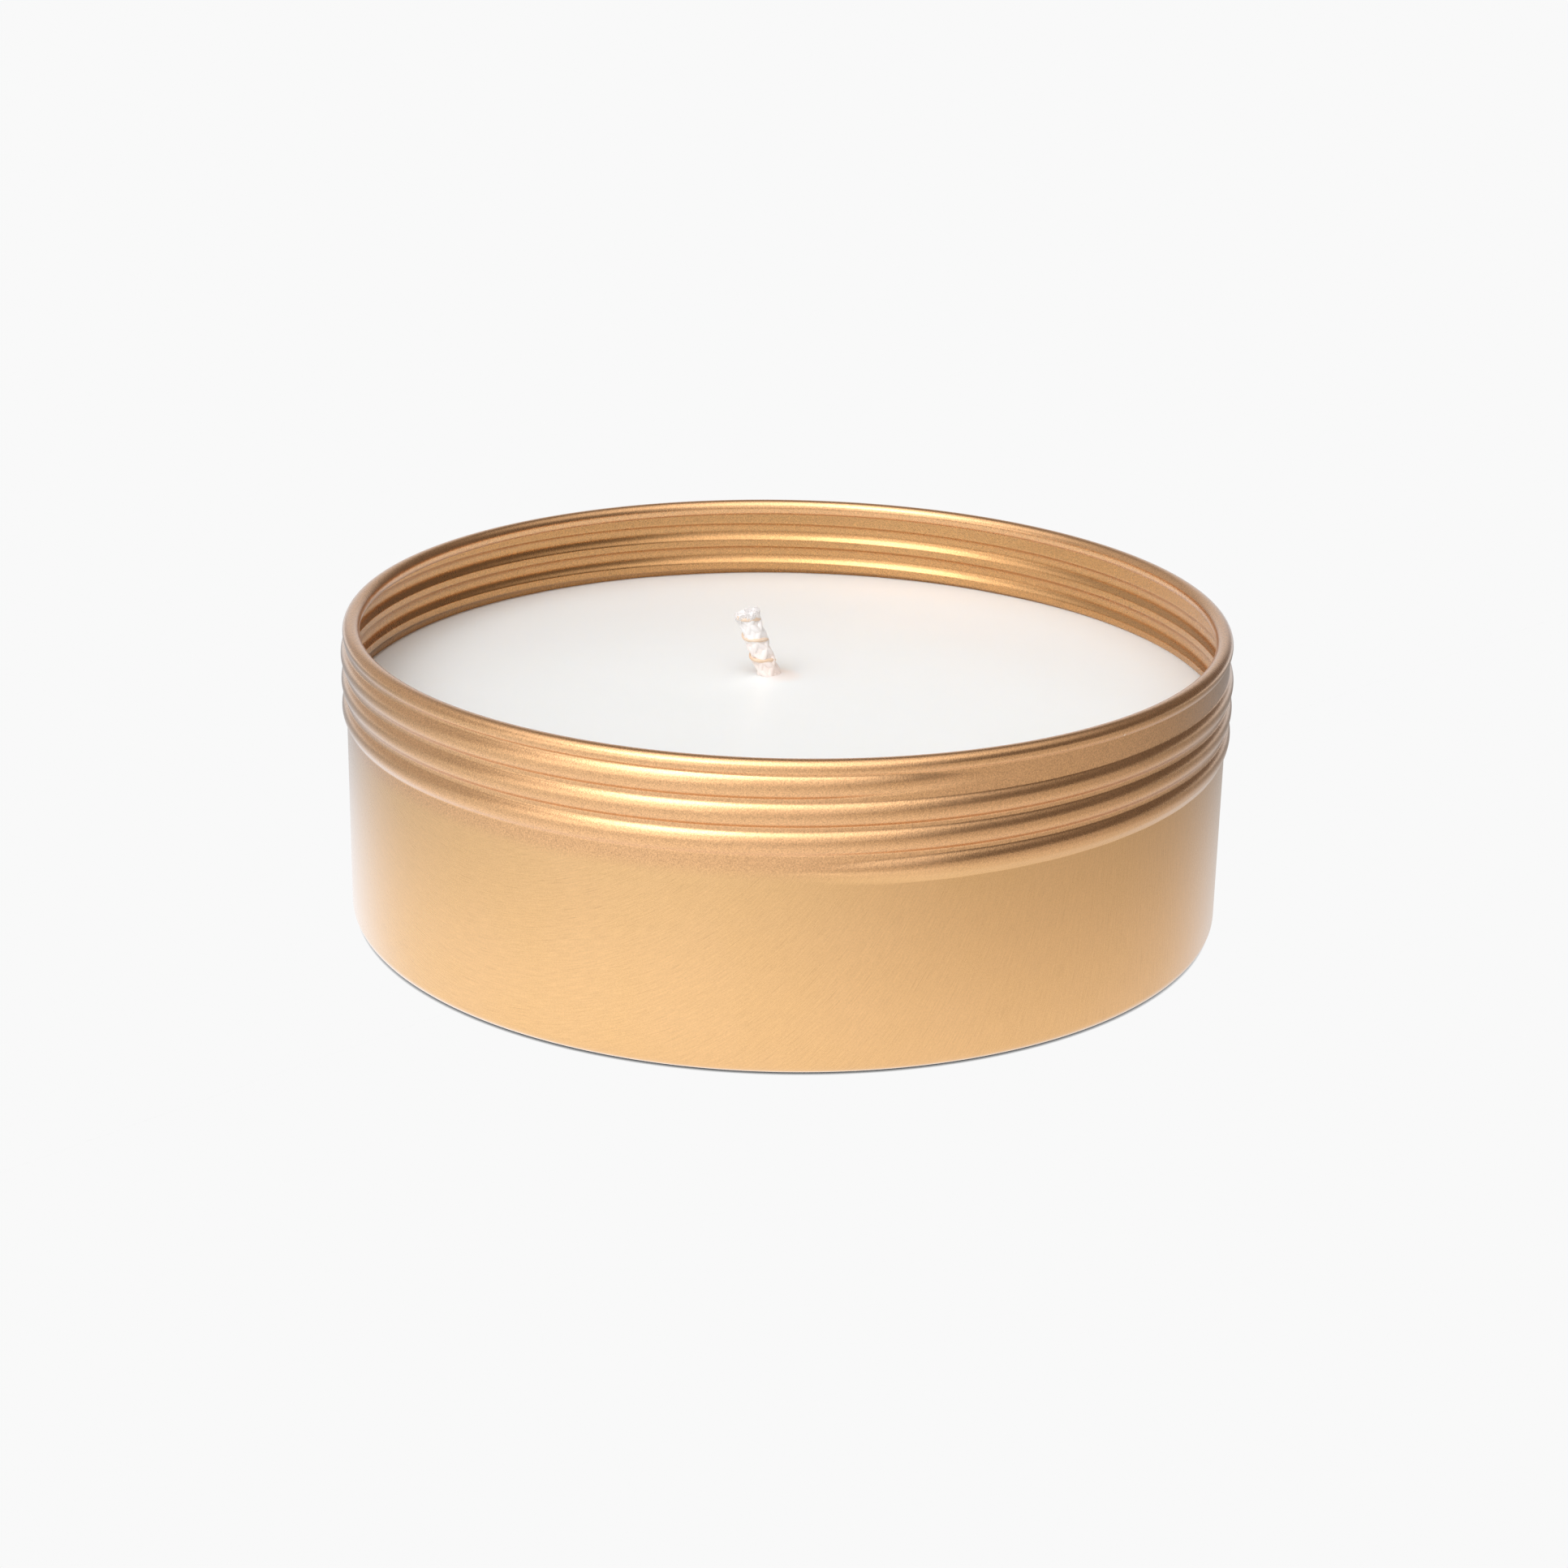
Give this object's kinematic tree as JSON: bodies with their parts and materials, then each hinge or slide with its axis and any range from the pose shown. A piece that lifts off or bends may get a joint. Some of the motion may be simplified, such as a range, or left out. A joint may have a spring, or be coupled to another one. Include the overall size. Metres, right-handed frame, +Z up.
{
  "type": "candle tin",
  "caption": "Shallow round screw-thread metal tin, open at the top, with a rolled rim, a fill of pale wax and one short leaning braided wick.",
  "frame": {"origin": "middle of the base, on the surface that the tin stands on", "axes": "+Z up through the middle of the tin, -Y towards the viewer, +X to the viewer's right; the wick leans towards -X"},
  "size_m": [0.1, 0.1, 0.034],
  "materials": {
    "gold_tin": "satin gold lacquer over brushed aluminium",
    "wax": "smooth ivory wax, slightly translucent",
    "wick_cotton": "braided cotton, waxed",
    "wick_paper": "twisted tan paper, waxed",
    "sustainer_steel": "tin-plated steel",
    "pad_foam": "white foam tape"
  },
  "bodies": {
    "root": {"tin_body": "gold_tin", "wax_fill": "wax", "wick_braid": "wick_cotton", "wick_filament": "wick_paper", "wick_sustainer": "sustainer_steel", "sustainer_pad": "pad_foam"}
  },
  "joints": []
}
